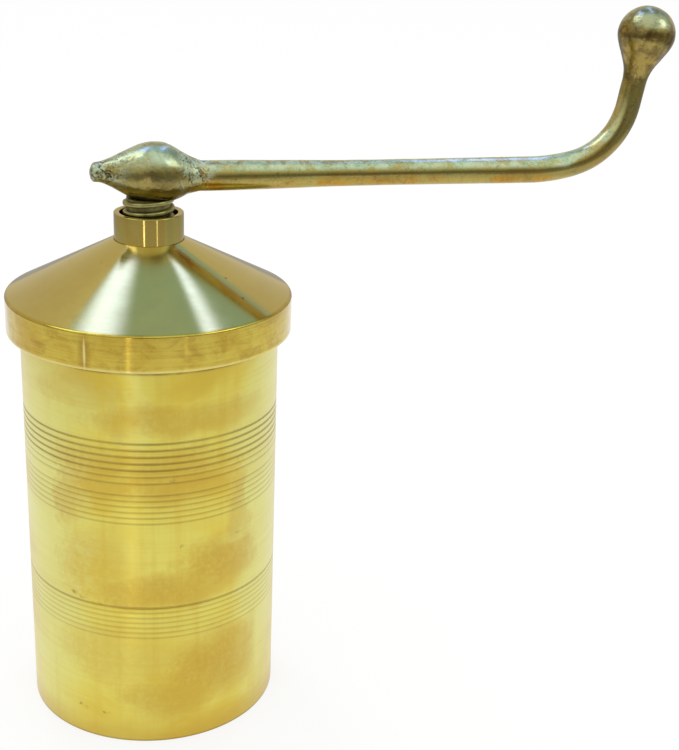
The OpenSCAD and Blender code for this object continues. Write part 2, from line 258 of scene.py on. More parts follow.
def linear(red, green, blue):
    # screen values of 0 to 255 through the sRGB curve
    def lift(value):
        share = value / 255
        return share / 12.92 if share <= 0.04045 else ((share + 0.055) / 1.055) ** 2.4
    return (lift(red), lift(green), lift(blue), 1)


def fade(wire, low, high, start=0, end=1):
    # smooth step of a value from start at low to end at high
    return wire.node("ShaderNodeMapRange", {"interpolation_type": "SMOOTHSTEP"},
                     {"Value": wire, "From Min": low, "From Max": high, "To Min": start, "To Max": end})


def fadeMm(wire, low, high, start=0, end=1):
    # the same for a length, with low and high in mm
    return fade(wire, low * mm, high * mm, start, end)


def mixColor(share, first, second):
    return share.node("ShaderNodeMix", {"data_type": "RGBA"}, {0: share, 6: first, 7: second}, out=2)


def paint(color, *layers):
    # lays colours over each other, each by its share
    for layer, share in layers:
        color = mixColor(share, color, layer)
    return color


def weighed(shares, *wires):
    return sum(share * wire for share, wire in zip(shares, wires))


def shared(shares, *wires):
    # the first share everywhere, and the others by their wires
    return shares[0] + weighed(shares[1:], *wires)


def average(first, second):
    return weighed((0.5, 0.5), first, second)


def centred(wire):
    # noise swings about a half
    return wire - 0.5


def noise(place, size=1000, stretch=None, detail=3, roughness=0.5, distortion=0):
    # size in mm, and a stretch for each direction by itself
    if stretch:
        place = place.node("ShaderNodeMapping", {}, {"Vector": place, "Scale": stretch})
    return place.node("ShaderNodeTexNoise", {}, {"Vector": place, "Scale": 1000 / size, "Detail": detail,
                                                 "Roughness": roughness, "Distortion": distortion})


def patterns(place, *rows):
    return [noise(place, **row) for row in rows]


def spots(place, size):
    return place.node("ShaderNodeTexVoronoi", {"feature": "F1"}, {"Vector": place, "Scale": 1000 / size})


def startMaterial(name):
    material = bpy.data.materials.new(name)
    material.use_nodes = True
    material.node_tree.nodes.clear()
    place = Wire(material.node_tree).node("ShaderNodeTexCoord", out="Object")
    return material, place


def axes(place):
    split = place.node("ShaderNodeSeparateXYZ", {}, {0: place})
    outputs = split.socket.node.outputs
    return [Wire(place.tree, output) for output in outputs]


def fromAxis(x, y):
    # distance from the Z axis
    return (x * x + y * y).root()


def aroundAxis(x, y):
    # angle round the Z axis
    return y.maths("ARCTAN2", y, x)


def latheLines(place, radius, z, density):
    # fine rings left by the lathe, the same all the way round
    across = place.node("ShaderNodeCombineXYZ", {}, {0: radius * density, 1: z * density, 2: 0.0})
    return noise(across, detail=2, roughness=0.7)


def ellipses(angle, z, rows):
    # soft ellipses on a turned part, the strongest one wins
    total = None
    for azimuth, height, wide, tall, strength in rows:
        across = (angle - math.radians(azimuth)) / math.radians(wide)
        along = (z - height * mm) / (tall * mm)
        spot = fade(across * across + along * along, 0, 1, strength, 0)
        total = spot if total is None else total.maths("MAXIMUM", total, spot)
    return total


def finishMaterial(place, color, roughness, height, look, metallic=1.0):
    film, filmRoughness, filmIndex = look.film
    bump = place.node("ShaderNodeBump", {}, {
        "Strength": 1.0, "Distance": look.bump * mm, "Height": height})
    shader = place.node("ShaderNodeBsdfPrincipled", {}, {
        "Base Color": color, "Roughness": roughness, "Metallic": metallic, "Normal": bump,
        "Anisotropic": look.brushed, "Anisotropic Rotation": 0.25,  # a quarter turn, along the profile
        "Coat Weight": film, "Coat Roughness": filmRoughness, "Coat IOR": filmIndex})
    place.node("ShaderNodeOutputMaterial", {}, {"Surface": shader})


# Looks. Lengths are in mm. A row of two or four numbers is a fade: where it starts and ends in its
# pattern or place, and, if they aren't 0 and 1, its shares there.

barrelLook = SimpleNamespace(
    # pale colour of worn places, also used for painted sheen
    rubbedAndSheen=linear(221, 219, 128),
    pale=linear(224, 213, 100),
    bright=linear(222, 201, 76),
    golden=linear(212, 181, 57),
    brown=linear(196, 157, 48),
    # painted shade in the grooves
    grooveShade=linear(142, 106, 30),
    mark=linear(122, 94, 44),
    patches=dict(size=42, stretch=(1, 1, 1.9), detail=4, roughness=0.55, distortion=0.4),
    clouds=dict(size=9, detail=5, roughness=0.6),
    speckle=dict(size=1.6, detail=4, roughness=0.7),
    turned=dict(stretch=(9, 9, 1500), roughness=0.7),  # lines of the lathe
    wipes=dict(stretch=(300, 300, 9), roughness=0.6),
    brightPatches=(0.36, 0.6),
    goldenPatches=(0.48, 0.68, 0, 0.8),
    goldenWipes=(0.42, 0.75, 0, 0.4),
    goldenLines=(0.45, 0.75, 0, 0.2),
    stainSpeckle=(0.3, 0.6, 0.7, 1),
    markSpeckle=(0.42, 0.58, 0.1, 0.6),
    raggedAngle=(0.5, 0.25),  # radians, by clouds and by speckle
    raggedHeight=(7, 9),  # by patches and by clouds
    markShift=0.4,  # radians
    sunk=(34.09, 34.192, 1, 0),  # radii in the grooves, where shade is painted
    outside=(33.2, 33.4),  # radii
    grooveShadeShare=0.42,
    foot=(9, 0, 0, 0.55),  # heights of the painted shade towards the floor
    footShadeRagged=6,
    footShadeEdge=(0.9, 0.2, 0, 0.55),
    rimShadow=(106.5, 107.1),  # the painted shadow line just under where the cap's rim sits
    rimShadowClouds=(0.35, 0.6, 0.3, 0.75),
    rough=(0.36, 0.12, 0.1),  # everywhere, by patches and by lines
    film=(0.6, 0.34, 1.5),  # weight, roughness and index of the old lacquer
    brushed=0.5,
    relief=(0.6, 0.2, 0.2),  # shares of lines, clouds and speckle
    bump=0.012,
    stains=[  # azimuth in degrees, height, half widths of both, strength
        (-84, 94, 52, 6, 0.6), (-86, 79, 36, 10, 0.6), (-122, 79, 22, 10, 0.55), (-64, 52, 26, 10, 0.8),
        (-90, 46, 46, 7, 0.7), (-118, 54, 28, 13, 0.4), (-66, 21, 32, 14, 0.8), (-90, 13, 30, 8, 0.6),
        (-134, 74, 10, 16, 0.45), (-54, 66, 10, 13, 0.45), (-112, 26, 38, 12, 0.4), (-130, 101, 24, 7, 0.3),
        (30, 60, 45, 16, 0.7), (75, 22, 50, 12, 0.7), (120, 84, 40, 11, 0.6), (160, 40, 32, 15, 0.6)],
    rubsAndSheen=[  # paler places: wear where hands hold it, and painted sheen toward the left and right edges and down the front
        (-150, 60, 32, 74, 0.85), (-36, 60, 29, 74, 0.8), (-132, 98, 26, 10, 0.6), (-103, 98, 7, 20, 0.4),
        (90, 70, 50, 40, 0.6)],
    marks=[  # azimuth, height, half widths
        (-131.5, 43.3, 1.4, 0.9), (-127.5, 42.6, 0.9, 0.7), (-119.5, 41.7, 1.2, 0.7), (-130.5, 8.9, 1.1, 0.8),
        (-127.5, 8.3, 0.8, 0.8), (-118, 8.1, 1.8, 0.5), (-82.8, 59.2, 1.1, 0.8), (-86, 78, 1.3, 0.9),
        (-54, 59, 1.2, 0.6), (48, 71, 1.4, 0.8), (98, 33, 1.2, 0.9), (142, 12, 1.5, 0.6)],
)


def makeBarrelBrass(look):
    material, place = startMaterial("barrelBrass")
    x, y, z = axes(place)
    radius = fromAxis(x, y)
    patches, clouds, speckle, turned, wipes = patterns(
        place, look.patches, look.clouds, look.speckle, look.turned, look.wipes)
    angle = aroundAxis(x, y) + weighed(look.raggedAngle, centred(clouds), centred(speckle))
    level = z + mm * weighed(look.raggedHeight, centred(patches), centred(clouds))
    stains = ellipses(angle, level, look.stains)
    shifted = angle - look.markShift * centred(clouds)
    marks = ellipses(shifted, z, [row + (1,) for row in look.marks])
    outside = fadeMm(radius, *look.outside)
    footShadeLevel = z + look.footShadeRagged * mm * centred(clouds)
    color = paint(
        look.pale,
        (look.bright, fade(patches, *look.brightPatches)),
        (look.golden, fade(patches, *look.goldenPatches)),
        (look.golden, fade(wipes, *look.goldenWipes)),
        # paler rubs: wear, and painted sheen toward the edges and down the front
        (look.rubbedAndSheen, ellipses(angle, level, look.rubsAndSheen)),
        (look.golden, fade(turned, *look.goldenLines)),
        (look.brown, stains * fade(speckle, *look.stainSpeckle)),
        (look.mark, marks * fade(speckle, *look.markSpeckle)),
        # painted shade in the grooves
        (look.grooveShade, fadeMm(radius, *look.sunk) * outside * look.grooveShadeShare),
        # painted shade towards the floor, and a painted contact shadow along the bottom edge
        (look.brown, fadeMm(footShadeLevel, *look.foot)),
        (look.mark, fadeMm(z, *look.footShadeEdge)),
        # painted shadow under the cap's rim
        (look.mark, fadeMm(z, *look.rimShadow) * fade(clouds, *look.rimShadowClouds) * outside))
    roughness = shared(look.rough, centred(patches), centred(turned))
    finishMaterial(place, color, roughness, weighed(look.relief, turned, clouds, speckle), look)
    return material


capLook = SimpleNamespace(
    bright=linear(204, 184, 80),
    golden=linear(190, 162, 60),
    brown=linear(150, 112, 40),
    mark=linear(96, 72, 34),
    olive=linear(138, 140, 82),
    silvery=linear(206, 192, 122),  # tint of the polished cone
    # pale colour of wear, also used for painted highlights
    wearAndHighlight=linear(234, 222, 150),
    lineDensity=5200,
    patches=dict(size=20, detail=4, roughness=0.6, distortion=0.5),
    clouds=dict(size=4, detail=4, roughness=0.65),
    blots=dict(stretch=(170, 170, 260), detail=4, roughness=0.65, distortion=0.5),
    scuffs=dict(stretch=(60, 60, 900), detail=4, roughness=0.7),
    streaks=dict(stretch=(14, 14, 2000), roughness=0.75),
    bars=dict(stretch=(190, 190, 12), detail=4, roughness=0.6, distortion=0.4),
    freckleSize=6,
    rim=(36.8, 37.4),  # radii
    collar=(9.2, 9.6, 1, 0),
    goldenPatches=(0.4, 0.7),
    brownLines=(0.5, 0.8, 0, 0.35),
    brownScuffs=(0.52, 0.72, 0, 0.35),
    scuffShares=(0.4, 0.6),  # everywhere, and more on the rim
    brownStreaks=(0.48, 0.7, 0, 0.3),
    streakClouds=(0.35, 0.6, 0.2, 1),
    brownBlots=(0.46, 0.68, 0, 0.4),
    edgeWearAndHighlight=(109.4, 109, 0, 0.5),  # heights at the rim's lower edge, paler by wear and by a painted highlight
    brownBars=(0.4, 0.62, 0.25, 0.6),
    oliveBars=(0.52, 0.36, 0, 0.55),
    silverShares=(0.65, -0.65, -0.4),  # everywhere, on the rim and on the collar
    freckles=(0.09, 0.03, 0, 0.8),
    freckleClouds=(0.54, 0.6),
    # a small dent on the rim, with a painted glint and painted shade beside it
    dentShade=[(-120.3, 112.5, 3.5, 6, 0.5)],  # azimuth in degrees, height, half widths, strength
    dentGlint=[(-120.3, 112.8, 0.7, 5, 0.7)],
    rough=(0.13, 0.1, 0.1),  # everywhere, by clouds and by lines
    film=(0.15, 0.14, 1.5),
    brushed=0.85,
    relief=(0.75, 0.25),  # shares of lines and clouds
    bump=0.005,
)


def makeCapBrass(look):
    material, place = startMaterial("capBrass")
    x, y, z = axes(place)
    radius = fromAxis(x, y)
    angle = aroundAxis(x, y)
    rings = latheLines(place, radius, z, look.lineDensity)
    patches, clouds, blots, scuffs, streaks, bars = patterns(
        place, look.patches, look.clouds, look.blots, look.scuffs, look.streaks, look.bars)
    freckles = spots(place, look.freckleSize)
    rim = fadeMm(radius, *look.rim)
    collar = fadeMm(radius, *look.collar)
    # the rim's lower edge, worn and with a painted highlight, and the painted glint of the dent
    wearAndHighlight = fadeMm(z, *look.edgeWearAndHighlight) * rim + rim * ellipses(angle, z, look.dentGlint)
    color = paint(
        look.bright,
        (look.golden, fade(patches, *look.goldenPatches)),
        (look.brown, fade(rings, *look.brownLines)),
        (look.brown, fade(scuffs, *look.brownScuffs) * shared(look.scuffShares, rim)),
        (look.brown, fade(streaks, *look.brownStreaks) * fade(clouds, *look.streakClouds) * rim),
        (look.brown, fade(blots, *look.brownBlots) * rim),
        # painted shade beside the dent
        (look.brown, rim * ellipses(angle, z, look.dentShade)),
        (look.wearAndHighlight, wearAndHighlight.least(1.0)),
        (look.brown, collar * fade(bars, *look.brownBars)),
        (look.olive, collar * fade(bars, *look.oliveBars)),
        (look.silvery, shared(look.silverShares, rim, collar)),
        (look.mark, fade(freckles, *look.freckles) * fade(clouds, *look.freckleClouds)))
    roughness = shared(look.rough, centred(clouds), centred(rings))
    finishMaterial(place, color, roughness, weighed(look.relief, rings, clouds), look)
    return material


crankLook = SimpleNamespace(
    bright=linear(176, 158, 84),
    golden=linear(182, 138, 42),
    olive=linear(143, 131, 78),
    brown=linear(96, 74, 36),
    umberAndShade=linear(132, 125, 75),  # mottles the hub darker, and paints shade on the bend and a dark reflection along the arm
    dustAndSheen=linear(195, 207, 174),  # pale dull layer on the upper side: dust, and a painted highlight along the top
    verdigris=linear(156, 186, 150),
    patina=linear(180, 196, 168),
    soot=linear(56, 54, 42),
    patches=dict(size=12, detail=5, roughness=0.6, distortion=0.6),
    clouds=dict(size=3, detail=5, roughness=0.65),
    mottle=dict(size=5, detail=6, roughness=0.7, distortion=0.8),
    grain=dict(size=0.7, detail=4, roughness=0.7),
    scale=dict(size=1.8, detail=4, roughness=0.75, distortion=1.5),
    nose=(-3, -11),  # x of the rough cast nose
    neckStart=(6, 9),  # x of the rough neck between hub and arm
    neckEnd=(15, 18, 1, 0),
    neckRough=0.9,
    hub=(8, 14, 1, 0),  # x
    stem=(156, 166),  # z
    knob=(168, 178),  # z
    axisHeight=149,
    hubTaller=1.4,  # how much further the hub's layers lie from its axis
    bend=(111.4, 170.2, 20),  # x and z of the bend's middle, and its radius
    curved=(112.4, 117.4),  # x
    belt=(134.2, 185.6, 80.9),  # x and z of the knob's widest place, and the tilt of its axis
    beltRagged=2.5,
    darkBandEdge=(0.2, 1.5),
    darkBandClouds=(0.35, 0.6, 0.1, 0.6),
    knobHeights=0.7,  # heights on the knob count by this
    goldenPatches=(0.42, 0.66),
    oliveMottle=(0.48, 0.62, 0, 0.75),
    oliveShares=(0.35, 0.65),  # everywhere, and more on hub and knob
    brownMix=(0.52, 0.62, 0, 0.7),
    brownShares=(0.4, 0.6),
    hubMottle=(0.4, 0.6, 0.3, 0.85),
    bendShade=(0.5, -2, 0, 0.6),  # heights above the axis
    # a painted dark reflection along the middle of the arm
    darkReflectionTop=(2.6, 1.2),
    darkReflectionLow=(-1.6, -0.4, 0, 0.55),
    umberMost=0.9,
    sootMix=(0.48, 0.58, 0, 0.5),
    castOlive=0.6,
    knobClouds=(0.42, 0.62, 0, 0.55),
    dustAndSheenHeight=(1, 2.4),
    dustAndSheenMottle=(0.38, 0.56, 0.3, 0.95),
    dustAndSheenShares=(1, -0.45, -0.75),  # everywhere, on the knob and on the stem
    verdigrisClouds=(0.44, 0.62, 0, 0.6),
    castPatina=0.7,
    speckleGrain=(0.5, 0.66, 0, 0.4),
    speckleClouds=(0.4, 0.6, 0.3, 1),
    crustHeight=(-1.6, 0.6, 0.12, 1),
    crustMix=(0.46, 0.56, 0, 0.8),
    pits=(0.46, 0.38),
    pitClouds=(0.52, 0.62),
    pitShares=(0.95, 0.3),  # in the crust, and in some clouds
    rough=(0.2, 0.2, -0.04, 0.16, 0.2),  # everywhere, by crust, casting, mottle and pits
    dustAndSheenCover=(0.75, -0.3),  # everywhere, and on hub and knob
    cover=0.5,  # how much of the metal the dust with its painted highlight and the patina hide
    film=(0.12, 0.14, 1.5),
    brushed=0.0,
    mottleRelief=(0.5, 1.5, 0.7),  # everywhere, and more on the hub and on the knob
    cloudRelief=0.25,
    grainRelief=(0.06, 0.4),  # everywhere, and more where it is rough
    pitRelief=0.5,
    bump=0.09,
)


def makeCrankBrass(look):
    material, place = startMaterial("crankBrass")
    x, _, z = axes(place)
    patches, clouds, mottle, grain, scale = patterns(
        place, look.patches, look.clouds, look.mottle, look.grain, look.scale)

    # where on the crank
    neck = fadeMm(x, *look.neckStart) * fadeMm(x, *look.neckEnd)
    rough = (fadeMm(x, *look.nose) + neck * look.neckRough).least(1.0)
    hub = fadeMm(x, *look.hub)
    knob = fadeMm(z, *look.knob)
    stem = fadeMm(z, *look.stem) * (1 - knob)
    cast = (hub + knob).least(1.0)
    curved = fadeMm(x, *look.curved)

    # height above the axis of hub, arm, bend and knob
    beltX, beltZ, tilt = look.belt
    along = math.radians(tilt)
    beyond = (x - beltX * mm) * math.cos(along) + (z - beltZ * mm) * math.sin(along)
    beyond = beyond + look.beltRagged * mm * centred(mottle)
    bendX, bendZ, bendRadius = look.bend
    inside = bendRadius * mm - fromAxis(x - bendX * mm, z - bendZ * mm)
    upper = (z - look.axisHeight * mm) / (1 + look.hubTaller * hub)
    onBend = inside * (1 - knob) + beyond * knob * look.knobHeights
    above = upper * (1 - curved) + onBend * curved

    # painted shade on the bend's outer side
    shaded = curved * fadeMm(above, *look.bendShade) * (1 - knob)
    # a painted dark reflection along the middle of the arm
    darkReflection = fadeMm(above, *look.darkReflectionTop) * fadeMm(above, *look.darkReflectionLow) * (1 - cast)
    umberAndShade = hub * fade(mottle, *look.hubMottle) + shaded + darkReflection
    color = paint(
        look.bright,
        (look.golden, fade(patches, *look.goldenPatches)),
        (look.olive, fade(mottle, *look.oliveMottle) * shared(look.oliveShares, cast)),
        (look.brown, fade(average(patches, mottle), *look.brownMix) * shared(look.brownShares, cast)),
        (look.umberAndShade, umberAndShade.least(look.umberMost)),
        (look.soot, cast * fade(average(clouds, patches), *look.sootMix)),
        (look.olive, cast * look.castOlive),
        (look.brown, knob * fade(clouds, *look.knobClouds)))

    # the pale upper side: dust, and a painted highlight along the top
    dustAndSheen = fadeMm(above, *look.dustAndSheenHeight) * fade(mottle, *look.dustAndSheenMottle)
    dustAndSheen = dustAndSheen * shared(look.dustAndSheenShares, knob, stem)
    pale = mixColor(fade(clouds, *look.verdigrisClouds), look.dustAndSheen, look.verdigris)
    color = mixColor(dustAndSheen, color, mixColor(cast * look.castPatina, pale, look.patina))

    # a painted dark reflection in a band round the knob's widest place
    near, far = look.darkBandEdge
    belt = fade(beyond * beyond, (near * mm) ** 2, (far * mm) ** 2, 1, 0) * knob
    crust = rough * fadeMm(above, *look.crustHeight)
    dull = fade(average(clouds, scale), *look.crustMix) * crust
    pitted = weighed(look.pitShares, crust, fade(clouds, *look.pitClouds))
    pits = fade(scale, *look.pits) * pitted.least(1.0)
    color = paint(
        color,
        (look.brown, fade(grain, *look.speckleGrain) * fade(clouds, *look.speckleClouds)),
        (look.brown, belt * fade(clouds, *look.darkBandClouds)),
        (look.patina, dull),
        (look.soot, pits))

    roughness = shared(look.rough, dull, cast, centred(mottle), pits)
    height = mottle * shared(look.mottleRelief, hub, knob) + clouds * look.cloudRelief
    height = height + grain * shared(look.grainRelief, rough) - pits * look.pitRelief
    covered = (dustAndSheen * shared(look.dustAndSheenCover, cast) + dull).least(1.0)
    finishMaterial(place, color, roughness, height, look, 1 - covered * look.cover)
    return material


screwLook = SimpleNamespace(
    bright=linear(170, 164, 108),
    brown=linear(126, 116, 70),
    soot=linear(58, 50, 30),
    clouds=dict(size=4, detail=5, roughness=0.6),
    grain=dict(size=0.8, roughness=0.6),
    depth=(5.75, 6.7, 1, 0),  # radii of root and crest
    brownClouds=(0.4, 0.7),
    sootClouds=(0.3, 0.6, 0.15, 0.5),
    rough=(0.32, 0.2, 0.12),  # everywhere, by depth and by grain
    film=(0.0, 0.3, 1.5),
    brushed=0.0,
    relief=(0.6, 0.4),  # shares of clouds and grain
    bump=0.03,
)


def makeScrewBrass(look):
    material, place = startMaterial("screwBrass")
    x, y, _ = axes(place)
    clouds, grain = patterns(place, look.clouds, look.grain)
    depth = fadeMm(fromAxis(x, y), *look.depth)
    color = paint(
        look.bright,
        (look.brown, fade(clouds, *look.brownClouds)),
        (look.soot, depth * fade(clouds, *look.sootClouds)))
    roughness = shared(look.rough, depth, centred(grain))
    finishMaterial(place, color, roughness, weighed(look.relief, clouds, grain), look)
    return material


plainLook = SimpleNamespace(
    bright=linear(214, 194, 108),
    golden=linear(190, 158, 72),
    brown=linear(136, 104, 46),
    lineDensity=4200,
    patches=dict(size=13, detail=4, roughness=0.6, distortion=0.3),
    clouds=dict(size=3, detail=4, roughness=0.6),
    goldenPatches=(0.4, 0.7),
    brownClouds=(0.58, 0.78, 0, 0.6),
    brownLines=(0.5, 0.8, 0, 0.3),
    rough=(0.3, 0.15, 0.1),  # everywhere, by clouds and by lines
    film=(0.0, 0.3, 1.5),
    brushed=0.5,
    relief=(0.7, 0.3),  # shares of lines and clouds
    bump=0.01,
)


def makePlainBrass(look):
    material, place = startMaterial("plainBrass")
    x, y, z = axes(place)
    rings = latheLines(place, fromAxis(x, y), z, look.lineDensity)
    patches, clouds = patterns(place, look.patches, look.clouds)
    color = paint(
        look.bright,
        (look.golden, fade(patches, *look.goldenPatches)),
        (look.brown, fade(clouds, *look.brownClouds)),
        (look.brown, fade(rings, *look.brownLines)))
    roughness = shared(look.rough, centred(clouds), centred(rings))
    finishMaterial(place, color, roughness, weighed(look.relief, rings, clouds), look)
    return material


barrelBrass = makeBarrelBrass(barrelLook)
capBrass = makeCapBrass(capLook)
crankBrass = makeCrankBrass(crankLook)
screwBrass = makeScrewBrass(screwLook)
plainBrass = makePlainBrass(plainLook)
print("materials made")


# Barrel, one turned tube with three bands of grooves

barrelShape = SimpleNamespace(
    wall=3, lipWidth=3, lipThick=3,
    shoulderDrop=8.8,  # from the top of the neck down to the shoulder
    neckStep=0.4,
    threadDepth=0.8, threadPitch=2, threadTurns=3, threadSteps=96, threadGap=0.35,
    threadPhase=0.4,  # degrees; keeps its facets off those of the tube
    threadForm=[(-0.25, -0.05), (1, 0.2), (1, 0.43), (-0.25, 0.68)],  # shares of depth and pitch
    grooveWidth=1.1, grooveDepth=0.15, grooveSteps=8,
    bands=[(7, 19.7, 1.83, 5), (6, 34, 1.6, 0), (7, 66.7, 1.5, 1)],  # count, drop, pitch, deep ones
    shallow=0.5,  # depth of a band's other grooves against its deep ones
    edge=0.3, edgeAngle=60, smoothAngle=40, steps=256,
)


def grooveOutline(shape, radius, shoulder):
    # the grooves from the lowest to the highest, each a rounded notch
    points = []
    for count, drop, pitch, deep in reversed(shape.bands):
        for i in reversed(range(count)):
            depth = shape.grooveDepth * (1 if i < deep else shape.shallow)
            middle = shoulder - drop - i * pitch
            for k in range(shape.grooveSteps + 1):
                u = k / shape.grooveSteps - 0.5
                dip = depth * (1 + math.cos(2 * math.pi * u)) / 2
                points.append((radius - dip, middle + u * shape.grooveWidth))
    return points


def makeBarrel(shape):
    low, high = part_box("barrel")
    radius = high.x / mm
    top = high.z / mm
    base = low.z / mm
    shoulder = top - shape.shoulderDrop
    bore = radius - shape.wall
    outlet = bore - shape.lipWidth
    neck = radius - shape.neckStep - shape.threadDepth
    outline = [(outlet, base), (radius, base)] + grooveOutline(shape, radius, shoulder)
    outline += [(radius, shoulder), (neck, shoulder), (neck, top), (bore, top)]
    outline += [(bore, base + shape.lipThick), (outlet, base + shape.lipThick)]
    piece = lathe("barrelTube", outline, shape.steps)
    softenEdges(piece, shape)
    pitch = shape.threadPitch
    start = shoulder + shape.threadGap
    ridge = [(neck + up * shape.threadDepth, start + share * pitch) for up, share in shape.threadForm]
    turns, steps = shape.threadTurns, shape.threadSteps
    combine(piece, wind("neckThread", ridge, pitch, turns, steps, shape.threadPhase), "UNION")
    dress(piece, shape, "barrel", "barrel", barrelBrass)


makeBarrel(barrelShape)


# Cap, a turned cone with a straight rim

capShape = SimpleNamespace(
    skirtWall=3.6,
    coneWall=3,
    coneHeight=14.6,
    crown=1,  # from the barrel's top to the rim's upper edge
    collarRadius=9.1,
    boreWall=3,  # from the barrel's outside to its bore
    edge=0.35, edgeAngle=25, smoothAngle=40, steps=256,
)


def makeCap(shape):
    low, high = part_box("cap")
    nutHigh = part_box("screw_nut")[1]
    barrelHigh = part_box("barrel")[1]
    radius = high.x / mm
    seat = barrelHigh.z / mm
    rimTop = seat + shape.crown
    top = high.z / mm
    bottom = low.z / mm
    collar = shape.collarRadius
    slope = shape.coneHeight / (radius - collar)
    drop = shape.coneWall * math.hypot(1, slope)
    flange = nutHigh.x / mm

    def inner(r):
        return rimTop + (radius - r) * slope - drop

    flat = barrelHigh.x / mm - shape.boreWall
    skirt = radius - shape.skirtWall
    outline = [(skirt, bottom), (radius, bottom), (radius, rimTop), (collar, top)]
    outline += [(collar, inner(flange)), (flange, inner(flange)), (flat, inner(flat))]
    outline += [(flat, seat), (skirt, seat)]
    piece = lathe("capCone", outline, shape.steps)
    softenEdges(piece, shape)
    dress(piece, shape, "cap", "cap", capBrass)


makeCap(capShape)


# Screw and its nut

screwShape = SimpleNamespace(
    crest=6.7,
    root=5.75,
    pitch=2.54,
    phase=139.4,  # degrees
    corePhase=1.3,  # keeps the core's facets off those of the thread
    form=[  # shares of the thread's rise and of the pitch
        (-0.3, -0.05), (0.3, 0.04), (0.72, 0.08), (0.93, 0.14), (1, 0.22),
        (1, 0.41), (0.93, 0.49), (0.72, 0.55), (0.3, 0.59), (-0.3, 0.68)],
    crestMiddle=0.315,  # share of the pitch
    startGap=0.3,  # from the shoulder to the start of the thread
    runIn=2,  # turns below that, which are trimmed away
    overrun=3,  # turns by which the core is too long before it is trimmed
    shoulder=21.2,
    seatGap=0.03,  # keeps the shoulder's face just off the washer's
    tailRadius=4,
    tenonLength=8,
    smoothAngle=50, steps=72, roomSteps=64,
)


def makeScrew(shape):
    low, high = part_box("screw_spindle")
    base = low.z / mm
    top = high.z / mm - shape.tenonLength
    pitch = shape.pitch
    root, crest = shape.root, shape.crest
    shoulder, tail = shape.shoulder, shape.tailRadius
    start = shoulder + shape.startGap - shape.runIn * pitch
    ridge = [(root + up * (crest - root), start + share * pitch) for up, share in shape.form]
    turns = math.ceil((top - start) / pitch) + 1
    piece = wind("screwThread", ridge, pitch, turns, shape.steps, shape.phase)
    coreLow = base - shape.overrun * pitch
    coreHigh = top + shape.overrun * pitch
    outline = [(0, coreLow), (root, coreLow), (root, coreHigh), (0, coreHigh)]
    combine(piece, lathe("screwCore", outline, shape.steps, shape.corePhase), "UNION")
    seat = shoulder + shape.seatGap
    outline = [(0, base), (tail, base), (tail, seat), (2 * crest, seat), (2 * crest, top), (0, top)]
    combine(piece, lathe("screwRoom", outline, shape.roomSteps), "INTERSECT")
    dress(piece, shape, "screw_spindle", "crank", screwBrass)


makeScrew(screwShape)

nutShape = SimpleNamespace(
    collarRadius=9.1,
    flangeThick=3,
    mouthRadius=7.6,
    mouthDepth=4.6,
    entryDepth=1.5,
    threadRadius=6.95,
    threadInner=6.0,
    ridgeFoot=1.656,
    ridgeTop=0.64,
    buried=0.3,  # share of the ridge's rise that lies in the wall
    edge=0.25, edgeAngle=60, smoothAngle=40, steps=160,
)


def makeNut(shape, screw):
    low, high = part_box("screw_nut")
    bottom, top = low.z / mm, high.z / mm
    flange, flangeTop = high.x / mm, bottom + shape.flangeThick
    entry = bottom + shape.entryDepth
    mouth = top - shape.mouthDepth
    collar, opening, out = shape.collarRadius, shape.mouthRadius, shape.threadRadius
    outline = [(opening, bottom), (flange, bottom), (flange, flangeTop), (collar, flangeTop), (collar, top)]
    outline += [(opening, top), (opening, mouth), (out, mouth), (out, entry), (opening, entry)]
    piece = lathe("collarNut", outline, shape.steps)
    softenEdges(piece, shape)
    pitch = screw.pitch
    foot, tip = shape.ridgeFoot / 2, shape.ridgeTop / 2
    # the ridge runs in the middle of the screw's groove, half a turn on from its crest
    rootMiddle = screw.shoulder + screw.startGap + screw.crestMiddle * pitch + pitch / 2
    middle = rootMiddle + pitch * math.ceil((entry + foot - rootMiddle) / pitch)
    turns = math.floor((mouth - foot - middle) / pitch)
    inner = shape.threadInner
    wall = out + shape.buried * (out - inner)
    buriedFoot = foot + shape.buried * (foot - tip)
    ridge = [(wall, middle - buriedFoot), (inner, middle - tip)]
    ridge += [(inner, middle + tip), (wall, middle + buriedFoot)]
    combine(piece, wind("nutThread", ridge, pitch, max(turns, 1), screw.steps, screw.phase), "UNION")
    dress(piece, shape, "screw_nut", "cap", capBrass)


makeNut(nutShape, screwShape)


# Crank: a cast hub with a nose, a bent arm and a knob

hubShape = SimpleNamespace(
    widest=8.1,
    offset=2.1,
    noseRadius=2.5, noseTip=1.3, noseLength=14.9, noseSwell=0.85, noseSteps=6,
    reach=14.5,
    endRadius=3.97,
    rise=6,  # axis above the flat underside
    tilt=2.5,  # degrees
    arch=0.3,
    profileSteps=28, steps=144, smoothAngle=60,
    cast=(2.4, 0.32),  # grain and height of the rough casting
    castRest=0.15,  # share of that height everywhere
    castNose=(0.85, 7, 12),  # further share, and the x it starts and is full at
    castNeck=(0.6, 6, 10),
    wave=(7, 0.45),  # grain and height of the slow unevenness
    waveEnd=(8, 13),
)


def swell(t, power=1):
    return (1 - math.cos(math.pi * t ** power)) / 2


def hubOutline(shape):
    # (radius, distance along the hub's axis) from the nose to the arm
    tip = shape.noseTip - shape.noseLength
    points = []
    for i in range(shape.noseSteps + 1):
        a = math.radians(90 - 90 * i / shape.noseSteps)
        points.append((shape.noseRadius * math.cos(a), tip - shape.noseTip * math.sin(a)))
    offset, reach = shape.offset, shape.reach
    halves = [(shape.noseRadius, shape.widest, tip, offset, shape.noseSwell),
              (shape.widest, shape.endRadius, offset, reach, 1)]
    for r0, r1, u0, u1, power in halves:
        for i in range(1, shape.profileSteps + 1):
            t = i / shape.profileSteps
            points.append((r0 + (r1 - r0) * swell(t, power), u0 + (u1 - u0) * t))
    points.append((0, reach))
    return points


